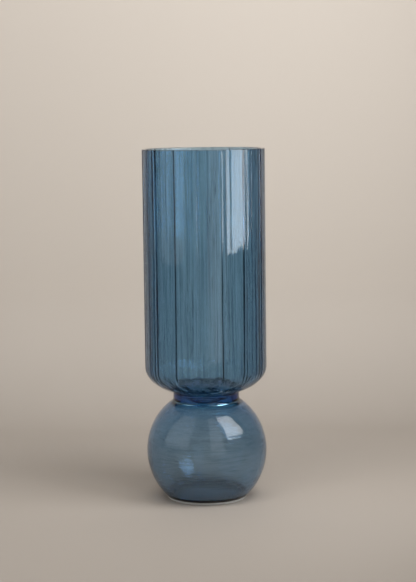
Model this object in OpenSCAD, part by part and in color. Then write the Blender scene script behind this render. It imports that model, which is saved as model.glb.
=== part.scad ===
// Tall blue glass vase: a ribbed cylinder with a rounded bottom stands on a thick
// glass collar. The collar is let into the cylinder's floor above and into the top of
// a hollow ball foot below.
// The origin is the centre of the resting face. The vase stands along +Z.

/* [Cylinder] */
// Overall height of the vase, table to rim
vase_h = 344; // [300:1:400]
// Outside diameter of the cylinder
cylinder_d = 120; // [112:1:126]
// Thickness of the cylinder wall
cylinder_wall = 3.8; // [3:0.1:5]
// Height of the floor inside the cylinder, from the table
floor_z = 110.5; // [109.5:0.5:114]
// Height at which the straight wall turns into the rounded bottom
shoulder_z = 131.3; // [129:0.1:136]
// Height taken up by the rounded bottom, if it ran to its lowest point
bottom_drop = 27.5; // [25:0.5:29]
// Width of the rounded bottom's curve, measured in from the wall
bottom_reach = 46; // [42:1:48]

/* [Ribs] */
// Number of ribs round the inside of the cylinder
rib_count = 16; // [9:1:24]
// Width of one rib
rib_w = 3.2; // [2:0.1:5]
// How far a rib stands in from the wall
rib_h = 1; // [0.5:0.1:1.6]
// Direction of the first rib, in degrees from +X
rib_phase = -6; // [-12:0.25:12]
// How far the ribs crowd together on one side, in degrees
rib_uneven = 4; // [0:0.5:5]

/* [Collar] */
// Outside diameter of the collar
collar_d = 65.2; // [60:0.2:70]
// Diameter of the air space in the collar
collar_bore_d = 49; // [46:1:52]
// Thickness of the collar's closed top, which is the middle of the cylinder's floor
collar_roof = 4.5; // [3.5:0.5:5]
// Height of the collar's lower edge, inside the ball
collar_low_z = 90.5; // [89.5:0.5:91]
// Radius of the throat, where the collar's air space opens into the ball
throat_r = 12; // [8:1:12]

/* [Ball foot] */
// Outside diameter of the ball at its widest
ball_d = 118.6; // [114:0.2:122]
// Height of the ball's widest point
ball_mid_z = 47.3; // [45:0.1:50]
// Height that the ball would reach above its widest point if it were whole
ball_rise = 60.3; // [58:0.1:62]
// Depth that it would reach below its widest point if it were whole
ball_drop = 61.4; // [58:0.1:64]
// Thickness of the ball's wall at its widest
ball_wall = 3.8; // [3:0.1:5]
// Extra thickness of the ball's wall where it closes round the collar
ball_neck_extra = 3.1; // [2.5:0.1:4]
// Thickness of the ball's floor
ball_floor = 4; // [3:0.5:6]
// Width of the ground ring that the vase rests on
rest_ring_w = 6; // [4:0.5:10]
// Height of the hollow under the ball, inside the ground ring
underside_rise = 2.5; // [1:0.5:4]

/* [Hidden] */
$fn = 96;
edge_bevel = 0.6;
curve_steps = 12;
ball_steps = 20;
rib_root = 0.6;
// Part of a rib's height that is lost along the rounded bottom
rib_fade = 0.5;
// Angle down the rounded bottom at which a rib starts to end, and the angle it takes
rib_end = 26;
rib_sink = 6;
// Direction in which the ribs are furthest apart
rib_wide_side = -96;
// Angle between the ball's upper and lower curves, so that no point is doubled
ball_join = 3;
cylinder_r = cylinder_d / 2;
bore_r = cylinder_r - cylinder_wall;
collar_r = collar_d / 2;
collar_bore_r = collar_bore_d / 2;
// The throat turns until it slopes as the ball's hollow does
throat_turn = 56;
throat_end_r = collar_bore_r + throat_r * (1 - cos(throat_turn));
throat_z = collar_low_z + (collar_r - throat_end_r) / tan(throat_turn) + throat_r * sin(throat_turn);
ball_r = ball_d / 2;
curve_x = cylinder_r - bottom_reach;
// Height at which the rounded bottom meets the collar
seat_z = shoulder_z - ellipse_height(bottom_reach, bottom_drop, collar_r - curve_x);
inner_reach = bottom_reach - cylinder_wall;
inner_drop = bottom_drop - cylinder_wall;
seat_angle = -asin((shoulder_z - seat_z) / bottom_drop);
floor_angle = -asin((shoulder_z - floor_z) / inner_drop);
// The ball's hollow follows the outside, with a thicker wall up round the collar
hollow_r = ball_r - ball_wall;
hollow_rise = ball_rise - ball_wall - ball_neck_extra;
hollow_drop = ball_drop - ball_wall;
ball_floor_z = underside_rise + ball_floor;
rest_r = ellipse_height(ball_drop, ball_r, ball_mid_z - edge_bevel) - edge_bevel;
hollow_floor_angle = -asin((ball_mid_z - ball_floor_z) / hollow_drop);

// Height of an ellipse over its own long axis, x away from its centre
function ellipse_height(half_w, half_h, x) = half_h * sqrt(1 - pow(x / half_w, 2));

// Points along an ellipse, from one angle to another
function ellipse_points(centre, half_w, half_h, from, to, steps) = [
    for (i = [0 : steps])
        let (a = from + (to - from) * i / steps)
            centre + [half_w * cos(a), half_h * sin(a)]
];

// One edge of a rib, seen from the side: it stands in from the wall and gets lower
// along the rounded bottom, as far down as end
function rib_edge(stand, end) = [
    for (i = [0 : curve_steps])
        let (
            a = -end * i / curve_steps,
            s = stand * (1 - rib_fade * pow(i / curve_steps, 2))
        )
            [curve_x + (inner_reach - s) * cos(a), shoulder_z + (inner_drop - s) * sin(a)]
];

// Direction of a rib: the ribs are spread a little on one side and crowded on the other
function rib_angle(i) =
    let (even = rib_phase + i * 360 / rib_count)
        even + rib_uneven * sin(even - rib_wide_side);

function reversed(points) = [for (i = [len(points) - 1 : -1 : 0]) points[i]];

// The cylinder's wall and floor, as one half section
module cylinder_section() {
    polygon(concat(
        ellipse_points([curve_x, shoulder_z], bottom_reach, bottom_drop, seat_angle, 0, curve_steps),
        [
            [cylinder_r, vase_h - edge_bevel],
            [cylinder_r - edge_bevel, vase_h],
            [bore_r + edge_bevel, vase_h],
            [bore_r, vase_h - edge_bevel]
        ],
        ellipse_points([curve_x, shoulder_z], inner_reach, inner_drop, 0, floor_angle, curve_steps),
        [[collar_r, floor_z]]
    ));
}

// One straight ridge on the inside of the wall, rooted in the glass, with a sloped end
module rib() {
    rotate([90, 0, 0])
        translate([0, 0, -rib_w / 2])
            linear_extrude(rib_w)
                polygon(concat(
                    [[bore_r - rib_h, vase_h]],
                    rib_edge(rib_h, rib_end),
                    reversed(rib_edge(-rib_root, rib_end + rib_sink)),
                    [[bore_r + rib_root, vase_h]]
                ));
}

// Mould-blown cylinder with optic ribs inside and a cut, polished rim
module ribbed_cylinder() {
    color([0.33, 0.47, 0.56, 0.6])
        union() {
            rotate([0, 0, (rib_angle(0) + rib_angle(1)) / 2]) rotate_extrude() cylinder_section();
            for (i = [0 : rib_count - 1])
                rotate([0, 0, rib_angle(i)]) rib();
        }
}

// Thick tube of glass between the cylinder and the ball, closed at its top, with a
// throat that opens into the ball
module neck_collar() {
    color([0.04, 0.24, 0.42, 0.8])
        rotate_extrude()
            polygon(concat(
                ellipse_points([collar_bore_r + throat_r, throat_z], throat_r, throat_r,
                    180, 180 + throat_turn, curve_steps),
                [
                    [collar_r, collar_low_z],
                    [collar_r, floor_z],
                    [0, floor_z],
                    [0, floor_z - collar_roof],
                    [collar_bore_r, floor_z - collar_roof]
                ]
            ));
}

// Outside of the ball, from the collar down to the ground ring
function ball_outside() = concat(
    ellipse_points([0, ball_mid_z], ball_r, ball_rise, acos(collar_r / ball_r), 0, ball_steps),
    ellipse_points([0, ball_mid_z], ball_r, ball_drop, -ball_join,
        -asin((ball_mid_z - edge_bevel) / ball_drop), ball_steps),
    [[rest_r, 0], [rest_r - rest_ring_w, 0]]
);

// Hollow of the ball, from its floor up to the collar
function ball_inside() = concat(
    ellipse_points([0, ball_mid_z], hollow_r, hollow_drop, hollow_floor_angle, -ball_join, ball_steps),
    ellipse_points([0, ball_mid_z], hollow_r, hollow_rise, 0, acos(collar_r / hollow_r), ball_steps)
);

// Blown hollow ball with a ground resting ring, closed at its base
module ball_foot() {
    color([0.29, 0.38, 0.44, 0.6])
        rotate_extrude()
            polygon(concat(
                ball_outside(),
                [[0, underside_rise], [0, ball_floor_z]],
                ball_inside()
            ));
}

ribbed_cylinder();
neck_collar();
ball_foot();
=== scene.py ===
import math

import bpy
from mathutils import Matrix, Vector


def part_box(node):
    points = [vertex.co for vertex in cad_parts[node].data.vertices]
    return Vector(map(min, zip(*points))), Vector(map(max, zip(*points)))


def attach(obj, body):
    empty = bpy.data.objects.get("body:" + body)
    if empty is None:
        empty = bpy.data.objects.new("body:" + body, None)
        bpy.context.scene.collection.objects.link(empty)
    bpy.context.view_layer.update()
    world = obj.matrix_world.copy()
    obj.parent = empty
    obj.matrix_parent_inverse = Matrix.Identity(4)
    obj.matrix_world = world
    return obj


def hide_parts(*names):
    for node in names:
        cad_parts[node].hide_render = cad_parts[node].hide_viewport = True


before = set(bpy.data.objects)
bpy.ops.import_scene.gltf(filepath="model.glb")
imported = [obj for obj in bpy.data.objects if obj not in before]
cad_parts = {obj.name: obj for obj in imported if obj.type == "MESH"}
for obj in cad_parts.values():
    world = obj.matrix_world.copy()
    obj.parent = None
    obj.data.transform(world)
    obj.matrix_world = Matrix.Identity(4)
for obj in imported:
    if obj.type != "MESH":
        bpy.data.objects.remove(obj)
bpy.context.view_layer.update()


# ---------------------------------------------------------------- ribbed cylinder
# The upper part is one cylinder of blue glass, blown into a ribbed mould. Its wall has 16
# upright ribs inside, each with a fine crease outside it. The rim is cut and polished, and
# the rounded bottom runs in to the collar.

cylinder_low, cylinder_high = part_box("ribbed_cylinder")
cylinder_r = min(cylinder_high.x, cylinder_high.y, -cylinder_low.x, -cylinder_low.y)
rim_z = cylinder_high.z
seat_z = cylinder_low.z
cylinder_wall = 0.0038
floor_z = 0.1105
shoulder_z = 0.1313
bottom_drop = 0.0275
bottom_reach = 0.046
rim_round = 0.0008
joint_melt = 0.00003
rib_count = 16
rib_height = 0.0010
rib_half_w = 0.0014
crease_depth = 0.00085
crease_half_w = 0.00062
rib_phase = -6.0
rib_uneven = 4.0
rib_wide_side = -96.0
rib_end = 26.0
rib_end_fade = 12.0
rib_stop = 0.0012
rib_reach = 8.0
rib_lean = 0.55
rib_wave = 0.25


def arc(centre_x, centre_z, half_w, half_h, start, end, steps):
    """Points along an ellipse seen from the side, its angles in degrees."""
    angles = [math.radians(start + (end - start) * i / steps) for i in range(steps + 1)]
    return [(centre_x + half_w * math.cos(a), centre_z + half_h * math.sin(a)) for a in angles]


def straight(x, z_from, z_to, steps):
    """Points up or down a straight wall, without its two ends."""
    return [(x, z_from + (z_to - z_from) * i / steps) for i in range(1, steps)]


def turned(name, outline, steps):
    """An outline drawn point by point in edit mode, and screwed once round the vase's axis."""
    bpy.ops.object.select_all(action="DESELECT")
    x, z = outline[0]
    bpy.ops.mesh.primitive_plane_add(size=0.0001, location=(x, 0, z))
    piece = bpy.context.object
    piece.name = name
    piece.data.name = name
    bpy.ops.object.transform_apply(location=True, rotation=True, scale=True)
    bpy.ops.object.mode_set(mode="EDIT")
    bpy.ops.mesh.select_all(action="SELECT")
    bpy.ops.mesh.merge(type="CENTER")
    for next_x, next_z in outline[1:]:
        step = (next_x - x, 0, next_z - z)
        bpy.ops.mesh.extrude_vertices_move(TRANSFORM_OT_translate={"value": step})
        x, z = next_x, next_z
    bpy.ops.object.mode_set(mode="OBJECT")
    if min(outline[0][0], outline[-1][0]) > 0:
        piece.data.vertices[0].select = True
        bpy.ops.object.mode_set(mode="EDIT")
        bpy.ops.mesh.edge_face_add()
        bpy.ops.object.mode_set(mode="OBJECT")
    lathe = piece.modifiers.new("lathe", "SCREW")
    lathe.steps = lathe.render_steps = steps
    lathe.use_merge_vertices = True
    lathe.merge_threshold = 0.000002
    bpy.ops.object.modifier_apply(modifier=lathe.name)
    bpy.ops.object.mode_set(mode="EDIT")
    bpy.ops.mesh.select_all(action="SELECT")
    bpy.ops.mesh.remove_doubles(threshold=0.000002)
    bpy.ops.mesh.normals_make_consistent(inside=False)
    bpy.ops.object.mode_set(mode="OBJECT")
    bpy.ops.object.shade_smooth_by_angle(angle=math.radians(32))
    return piece


collar_low, collar_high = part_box("neck_collar")
collar_r = min(collar_high.x, collar_high.y, -collar_low.x, -collar_low.y)
bore_r = cylinder_r - cylinder_wall
curve_x = cylinder_r - bottom_reach
inner_reach = bottom_reach - cylinder_wall
inner_drop = bottom_drop - cylinder_wall
seat_angle = -math.degrees(math.asin((shoulder_z - seat_z) / bottom_drop))
floor_angle = -math.degrees(math.asin((shoulder_z - floor_z) / inner_drop))

outline = [(collar_r - joint_melt, floor_z), (collar_r - joint_melt, seat_z)]
outline += arc(curve_x, shoulder_z, bottom_reach, bottom_drop, seat_angle, 0, 22)[1:]
outline += straight(cylinder_r, shoulder_z, rim_z - rim_round, 9)
outline += [(cylinder_r, rim_z - rim_round - rib_stop)]
outline += arc(cylinder_r - rim_round, rim_z - rim_round, rim_round, rim_round, 0, 90, 3)
outline += arc(bore_r + rim_round, rim_z - rim_round, rim_round, rim_round, 90, 180, 3)
outline += [(bore_r, rim_z - rim_round - rib_stop)]
outline += straight(bore_r, rim_z - rim_round, shoulder_z, 9)
outline += arc(curve_x, shoulder_z, inner_reach, inner_drop, 0, floor_angle, 18)
cylinder = turned("ribbed_cylinder_glass", outline, 1440)

face_slack = 0.0002
ribs = cylinder.vertex_groups.new(name="ribs")
creases = cylinder.vertex_groups.new(name="creases")
rib_angles = []
for i in range(rib_count):
    even = rib_phase + i * 360 / rib_count
    rib_angles.append(even + rib_uneven * math.sin(math.radians(even - rib_wide_side)))
for v in cylinder.data.vertices:
    r = math.hypot(v.co.x, v.co.y)
    rise = (v.co.z - shoulder_z) / (rim_z - shoulder_z)
    if v.co.z >= shoulder_z:
        inside = abs(r - bore_r) < face_slack
        outside = abs(r - cylinder_r) < face_slack
        fade = min(1.0, max(0.0, (rim_z - rim_round - v.co.z) / rib_stop))
    else:
        turn_in = math.degrees(math.atan2((shoulder_z - v.co.z) / inner_drop,
                                          max(0.0, r - curve_x) / inner_reach))
        # swell is 1 on the bottom's inner face, and more on its outer face
        swell = ((r - curve_x) / inner_reach) ** 2 + ((v.co.z - shoulder_z) / inner_drop) ** 2
        inside = swell < 1.01
        outside = swell > 1.05
        fade = min(1.0, max(0.0, (rib_end - turn_in) / rib_end_fade))
    if not (inside or outside) or fade == 0:
        continue
    angle = math.degrees(math.atan2(v.co.y, v.co.x))
    for k, rib_angle in enumerate(rib_angles):
        # each rib leans and waves by a fraction of a degree, in its own phase
        lean = rib_lean * math.sin(2.3 * k + 1.1) * (rise - 0.5)
        lean += rib_wave * math.sin(5 * rise + 1.7 * k)
        off = (angle - rib_angle - lean + 180) % 360 - 180
        if abs(off) > rib_reach:
            continue
        away = abs(math.radians(off)) * r
        if inside:
            ribs.add([v.index], fade * math.exp(-(away / rib_half_w) ** 2), "REPLACE")
        else:
            creases.add([v.index], fade * math.exp(-away / crease_half_w), "REPLACE")
for group_name, height in (("ribs", rib_height), ("creases", -crease_depth)):
    push = cylinder.modifiers.new(group_name, "DISPLACE")
    push.vertex_group = group_name
    push.mid_level = 0
    push.strength = height
    bpy.context.view_layer.objects.active = cylinder
    bpy.ops.object.modifier_apply(modifier=push.name)

# Hot glass is never quite even. It keeps fine streaks along the way that it was drawn, some
# of them darker, and a very faint haze. Every part of the vase has them.
streaks = bpy.data.node_groups.new("streaks in blown glass", "ShaderNodeTree")
streaks.interface.new_socket("Vector", in_out="INPUT", socket_type="NodeSocketVector")
streaks.interface.new_socket("Height", in_out="OUTPUT", socket_type="NodeSocketFloat")
streaks.interface.new_socket("Haze", in_out="OUTPUT", socket_type="NodeSocketFloat")
streaks.interface.new_socket("Shade", in_out="OUTPUT", socket_type="NodeSocketColor")
nodes, links = streaks.nodes, streaks.links
group_in, group_out = nodes.new("NodeGroupInput"), nodes.new("NodeGroupOutput")
broad, fine = nodes.new("ShaderNodeTexNoise"), nodes.new("ShaderNodeTexNoise")
broad.inputs["Scale"].default_value = 1.0
broad.inputs["Detail"].default_value = 1.0
fine.inputs["Scale"].default_value = 3.3
fine.inputs["Detail"].default_value = 2.0
thin_fine = nodes.new("ShaderNodeMath")
thin_fine.operation = "MULTIPLY"
thin_fine.inputs[1].default_value = 0.22
height = nodes.new("ShaderNodeMath")
height.operation = "ADD"
haze = nodes.new("ShaderNodeMapRange")
haze.inputs["From Min"].default_value = 0.35
haze.inputs["From Max"].default_value = 0.7
haze.inputs["To Min"].default_value = 0.0
haze.inputs["To Max"].default_value = 0.03
shade = nodes.new("ShaderNodeValToRGB")
shade.color_ramp.elements[0].position = 0.32
shade.color_ramp.elements[0].color = (0.60, 0.64, 0.68, 1)
shade.color_ramp.elements[1].position = 0.50
shade.color_ramp.elements[1].color = (1, 1, 1, 1)
for noise in (broad, fine):
    links.new(group_in.outputs["Vector"], noise.inputs["Vector"])
links.new(fine.outputs["Fac"], thin_fine.inputs[0])
links.new(broad.outputs["Fac"], height.inputs[0])
links.new(thin_fine.outputs[0], height.inputs[1])
links.new(broad.outputs["Fac"], haze.inputs["Value"])
links.new(fine.outputs["Fac"], shade.inputs["Fac"])
links.new(height.outputs[0], group_out.inputs["Height"])
links.new(haze.outputs["Result"], group_out.inputs["Haze"])
links.new(shade.outputs["Color"], group_out.inputs["Shade"])


def blue_glass(name, colour, density, stretch, relief, shading):
    """Glass coloured right through: it takes more light the thicker it is. stretch is how many
    streaks there are to a metre along each axis, relief is their height, and shading is how
    dark they are, from 0 to 1."""
    material = bpy.data.materials.new(name)
    material.use_nodes = True
    nodes, links = material.node_tree.nodes, material.node_tree.links
    glass = nodes["Principled BSDF"]
    glass.inputs["Transmission Weight"].default_value = 1
    glass.inputs["IOR"].default_value = 1.5
    place = nodes.new("ShaderNodeTexCoord")
    scale = nodes.new("ShaderNodeMapping")
    scale.inputs["Scale"].default_value = stretch
    marks = nodes.new("ShaderNodeGroup")
    marks.node_tree = streaks
    bump = nodes.new("ShaderNodeBump")
    bump.inputs["Distance"].default_value = relief
    links.new(place.outputs["Object"], scale.inputs["Vector"])
    links.new(scale.outputs["Vector"], marks.inputs["Vector"])
    links.new(marks.outputs["Height"], bump.inputs["Height"])
    links.new(bump.outputs["Normal"], glass.inputs["Normal"])
    links.new(marks.outputs["Haze"], glass.inputs["Roughness"])
    tint = nodes.new("ShaderNodeMix")
    tint.data_type = "RGBA"
    clear, streaked, tinted = tint.inputs[6], tint.inputs[7], tint.outputs[2]
    tint.inputs["Factor"].default_value = shading
    clear.default_value = (1, 1, 1, 1)
    links.new(marks.outputs["Shade"], streaked)
    links.new(tinted, glass.inputs["Base Color"])
    body = nodes.new("ShaderNodeVolumeAbsorption")
    body.inputs["Color"].default_value = colour
    body.inputs["Density"].default_value = density
    links.new(body.outputs["Volume"], nodes["Material Output"].inputs["Volume"])
    return material


cylinder.data.materials.append(blue_glass("cylinder glass", (0.0625, 0.48, 0.71, 1), 245,
                                          (150, 150, 3), 0.0009, 1.0))
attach(cylinder, "root")
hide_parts("ribbed_cylinder")


# ---------------------------------------------------------------- neck collar
# A short thick tube of glass, closed at its top, joins the two blown parts. It is melted
# into the cylinder's floor above and the ball's top below, with sealed air inside it.

collar_bore_r = 0.0245
collar_roof = 0.0045
roof_round = 0.0030
throat_r = 0.012
throat_turn = 56.0
lower_fillet = 0.0042
upper_fillet = 0.0015
ball_slope = 54.8
seat_slope = 75.2
below_neck = 0.0012
above_seat = 0.0008
sunk = 0.00005
ball_low, ball_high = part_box("ball_foot")
neck_z = ball_high.z
throat_end_r = collar_bore_r + throat_r * (1 - math.cos(math.radians(throat_turn)))
throat_z = (collar_low.z + (collar_r - throat_end_r) / math.tan(math.radians(throat_turn))
            + throat_r * math.sin(math.radians(throat_turn)))
lower_fillet_z = neck_z + lower_fillet * math.tan(math.radians(ball_slope / 2)) - sunk
upper_fillet_z = seat_z - upper_fillet * math.tan(math.radians(seat_slope / 2)) + sunk
outline = [(0, floor_z - collar_roof)]
outline += arc(collar_bore_r - roof_round, floor_z - collar_roof - roof_round,
               roof_round, roof_round, 90, 0, 8)
outline += arc(collar_bore_r + throat_r, throat_z, throat_r, throat_r, 180, 180 + throat_turn, 16)
outline += [(collar_r, collar_low.z), (collar_r, neck_z - below_neck)]
outline += arc(collar_r + lower_fillet, lower_fillet_z, lower_fillet, lower_fillet,
               180 + ball_slope, 180, 10)
outline += arc(collar_r + upper_fillet, upper_fillet_z, upper_fillet, upper_fillet,
               180, 180 - seat_slope, 8)
outline += [(collar_r, seat_z + above_seat), (collar_r, floor_z), (0, floor_z)]
collar = turned("neck_collar_glass", outline, 360)
collar.data.materials.append(blue_glass("collar glass", (0.0, 0.58, 0.80, 1), 350,
                                        (25, 25, 380), 0.00008, 0.5))
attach(collar, "root")
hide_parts("neck_collar")


# ---------------------------------------------------------------- ball foot
# The foot is a hollow ball, blown and turned in a wet mould, with a wall that gets thick
# where it closes round the collar. Its base is ground, so that it rests on a narrow ring.
# That ring is coloured near white, partly ground glass and partly a painted highlight of the
# light that gathers at the base edge.

ball_r = min(ball_high.x, ball_high.y, -ball_low.x, -ball_low.y)
ball_mid_z = 0.0473
ball_rise = 0.0603
ball_drop = 0.0614
ball_wall = 0.0038
neck_extra = 0.0031
ball_floor_z = 0.0065
heel_h = 0.0022
ring_w = 0.006
underside_rise = 0.0025
hole_r = collar_r - joint_melt
hollow_r = ball_r - ball_wall
hollow_rise = ball_rise - ball_wall - neck_extra
hollow_drop = ball_drop - ball_wall
rest_r = ball_r * math.sqrt(1 - ((ball_mid_z - heel_h) / ball_drop) ** 2)

hole_angle = math.degrees(math.acos(hole_r / ball_r))
inner_hole_angle = math.degrees(math.acos(hole_r / hollow_r))
heel_angle = -math.degrees(math.asin((ball_mid_z - heel_h) / ball_drop))
hollow_floor_angle = -math.degrees(math.asin((ball_mid_z - ball_floor_z) / hollow_drop))
outline = arc(0, ball_mid_z, ball_r, ball_rise, hole_angle, 0, 40)
outline += arc(0, ball_mid_z, ball_r, ball_drop, -2, heel_angle, 40)
outline += [(rest_r - 0.5 * heel_h, 0)]
outline += arc(0, 0, rest_r - ring_w, underside_rise, 0, 90, 12)
outline += [(0, ball_floor_z)]
outline += [(0.020, ball_floor_z)]
outline += arc(0, ball_mid_z, hollow_r, hollow_drop, hollow_floor_angle, -2, 40)
outline += arc(0, ball_mid_z, hollow_r, hollow_rise, 0, inner_hole_angle, 40)
ball = turned("ball_foot_glass", outline, 480)
ball.data.materials.append(blue_glass("ball glass", (0.30, 0.57, 0.755, 1), 250,
                                      (14, 14, 260), 0.0003, 0.55))

# The ring's near-white frost is partly the grain of ground glass and partly a painted highlight of
# light gathered at the base edge.
ground_and_highlight = bpy.data.materials.new("ground glass with painted highlight")
ground_and_highlight.use_nodes = True
nodes, links = ground_and_highlight.node_tree.nodes, ground_and_highlight.node_tree.links
grain_place = nodes.new("ShaderNodeTexCoord")
grain = nodes.new("ShaderNodeTexNoise")
grain.inputs["Scale"].default_value = 2600
frost_and_highlight = nodes.new("ShaderNodeValToRGB")
frost_and_highlight.color_ramp.elements[0].color = (0.78, 0.83, 0.84, 1)
frost_and_highlight.color_ramp.elements[1].color = (0.97, 0.98, 0.98, 1)
grit = nodes.new("ShaderNodeBump")
grit.inputs["Distance"].default_value = 0.00004
links.new(grain_place.outputs["Object"], grain.inputs["Vector"])
links.new(grain.outputs["Fac"], frost_and_highlight.inputs["Fac"])
links.new(frost_and_highlight.outputs["Color"], nodes["Principled BSDF"].inputs["Base Color"])
links.new(grain.outputs["Fac"], grit.inputs["Height"])
links.new(grit.outputs["Normal"], nodes["Principled BSDF"].inputs["Normal"])
nodes["Principled BSDF"].inputs["Roughness"].default_value = 0.55
ball.data.materials.append(ground_and_highlight)
# faces on the resting ring get the near-white ground glass with its painted highlight
for face in ball.data.polygons:
    on_highlight_ring = math.hypot(face.center.x, face.center.y) > rest_r - ring_w - 0.0001
    if on_highlight_ring and face.center.z < heel_h:
        face.material_index = 1
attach(ball, "root")
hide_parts("ball_foot")


# ---------------------------------------------------------------- floor and light
# A pale sweep lies under the vase and rises close behind it. Its paper is painted darker on
# the floor and lighter up the wall, a painted shade of how the light falls on it. Its wall can
# be seen through from behind. A tall window close on the right, a thin curtain in front, a pale
# wall on the left and a wash of light on the sweep light the vase.

sweep_w = 7.0
front_y = -3.0
back_y = 0.30
sweep_r = 0.16
sweep_steps = 16
sweep_wall_h = 2.4

bpy.ops.object.select_all(action="DESELECT")
bpy.ops.mesh.primitive_plane_add(size=1, location=(0, (front_y + back_y) / 2, 0))
sweep = bpy.context.object
sweep.name = "sweep"
sweep.scale = (sweep_w, back_y - front_y, 1)
bpy.ops.object.transform_apply(location=True, rotation=True, scale=True)
bpy.ops.object.mode_set(mode="EDIT")
bpy.ops.mesh.select_mode(type="EDGE")
bpy.ops.mesh.select_all(action="DESELECT")
bpy.ops.object.mode_set(mode="OBJECT")
for e in sweep.data.edges:
    e.select = all(sweep.data.vertices[i].co.y > 0 for i in e.vertices)
bpy.ops.object.mode_set(mode="EDIT")
for i in range(sweep_steps):
    a0 = math.pi / 2 * i / sweep_steps
    a1 = math.pi / 2 * (i + 1) / sweep_steps
    step = (0, sweep_r * (math.sin(a1) - math.sin(a0)), sweep_r * (math.cos(a0) - math.cos(a1)))
    bpy.ops.mesh.extrude_edges_move(TRANSFORM_OT_translate={"value": step})
bpy.ops.mesh.extrude_edges_move(TRANSFORM_OT_translate={"value": (0, 0, sweep_wall_h)})
bpy.ops.mesh.select_all(action="SELECT")
bpy.ops.mesh.normals_make_consistent(inside=False)
bpy.ops.object.mode_set(mode="OBJECT")
if sweep.data.polygons[0].normal.z < 0:
    bpy.ops.object.mode_set(mode="EDIT")
    bpy.ops.mesh.flip_normals()
    bpy.ops.object.mode_set(mode="OBJECT")
bpy.ops.object.shade_smooth()
paper = bpy.data.materials.new("sweep paper with painted shade")
paper.use_nodes = True
nodes, links = paper.node_tree.nodes, paper.node_tree.links
shade_place = nodes.new("ShaderNodeTexCoord")
shade_height = nodes.new("ShaderNodeSeparateXYZ")
# painted shade: the paper's colour is darker on the floor and lighter from the bend up, for how
# the light falls on it
painted_shade_by_height = nodes.new("ShaderNodeValToRGB")
painted_shade_by_height.color_ramp.elements[0].position = 0.0
painted_shade_by_height.color_ramp.elements[0].color = (0.36, 0.325, 0.29, 1)
painted_shade_by_height.color_ramp.elements[1].position = 0.16
painted_shade_by_height.color_ramp.elements[1].color = (0.56, 0.51, 0.455, 1)
links.new(shade_place.outputs["Object"], shade_height.inputs["Vector"])
links.new(shade_height.outputs["Z"], painted_shade_by_height.inputs["Fac"])
links.new(painted_shade_by_height.outputs["Color"], nodes["Principled BSDF"].inputs["Base Color"])
nodes["Principled BSDF"].inputs["Roughness"].default_value = 0.7
open_back, either = nodes.new("ShaderNodeBsdfTransparent"), nodes.new("ShaderNodeMixShader")
side = nodes.new("ShaderNodeNewGeometry")
links.new(side.outputs["Backfacing"], either.inputs["Fac"])
links.new(nodes["Principled BSDF"].outputs["BSDF"], either.inputs[1])
links.new(open_back.outputs["BSDF"], either.inputs[2])
links.new(either.outputs["Shader"], nodes["Material Output"].inputs["Surface"])
sweep.data.materials.append(paper)


def panel(name, azimuth, distance, low, high, width, radiance, colour=(1, 1, 1), pitch=90, roll=0):
    """A light panel that faces the vase: azimuth 0 is the camera's side and 90 the right, and
    pitch 90 is upright."""
    a = math.radians(azimuth)
    light = bpy.data.lights.new(name, "AREA")
    light.shape = "RECTANGLE"
    light.size = width
    light.size_y = high - low
    light.energy = radiance * math.pi * light.size * light.size_y
    light.color = colour
    lamp = bpy.data.objects.new(name, light)
    bpy.context.collection.objects.link(lamp)
    lamp.matrix_world = (
        Matrix.Translation((distance * math.sin(a), -distance * math.cos(a), (low + high) / 2))
        @ Matrix.Rotation(a, 4, "Z")
        @ Matrix.Rotation(math.radians(pitch), 4, "X")
        @ Matrix.Rotation(math.radians(roll), 4, "Z")
    )
    lamp.visible_camera = False
    return lamp


panel("window", 55, 0.36, 0.22, 2.1, 0.26, 5.4, roll=3)
panel("curtain", 20, 0.55, 0.05, 1.8, 0.25, 0.7)
panel("left wall", -62, 0.9, 0.15, 1.9, 0.9, 0.6)
wash = panel("wash on the sweep", 0, 1.2, 1.9, 2.9, 3.0, 5.0, colour=(1, 0.97, 0.94), pitch=55)
wash.visible_glossy = False
wash.visible_transmission = False

world = bpy.data.worlds.new("room")
bpy.context.scene.world = world
world.use_nodes = True
world.node_tree.nodes["Background"].inputs["Color"].default_value = (0.80, 0.77, 0.73, 1)
world.node_tree.nodes["Background"].inputs["Strength"].default_value = 0.13


# ---------------------------------------------------------------- camera
# A long lens stands a little above the rim and looks down on the vase, rolled slightly.

camera_place = (0.0030, -1.475, 0.3812)
look_down = 6.82
camera_roll = -0.7

camera_data = bpy.data.cameras.new("camera")
camera_data.sensor_width = 36
camera_data.lens = 93.7
camera = bpy.data.objects.new("camera", camera_data)
bpy.context.collection.objects.link(camera)
camera.matrix_world = (
    Matrix.Translation(camera_place)
    @ Matrix.Rotation(math.radians(90 - look_down), 4, "X")
    @ Matrix.Rotation(math.radians(camera_roll), 4, "Z")
)
bpy.context.scene.camera = camera
bpy.context.scene.view_settings.view_transform = "Standard"
bpy.context.scene.cycles.max_bounces = 32
bpy.context.scene.cycles.transmission_bounces = 32
bpy.context.scene.cycles.glossy_bounces = 16
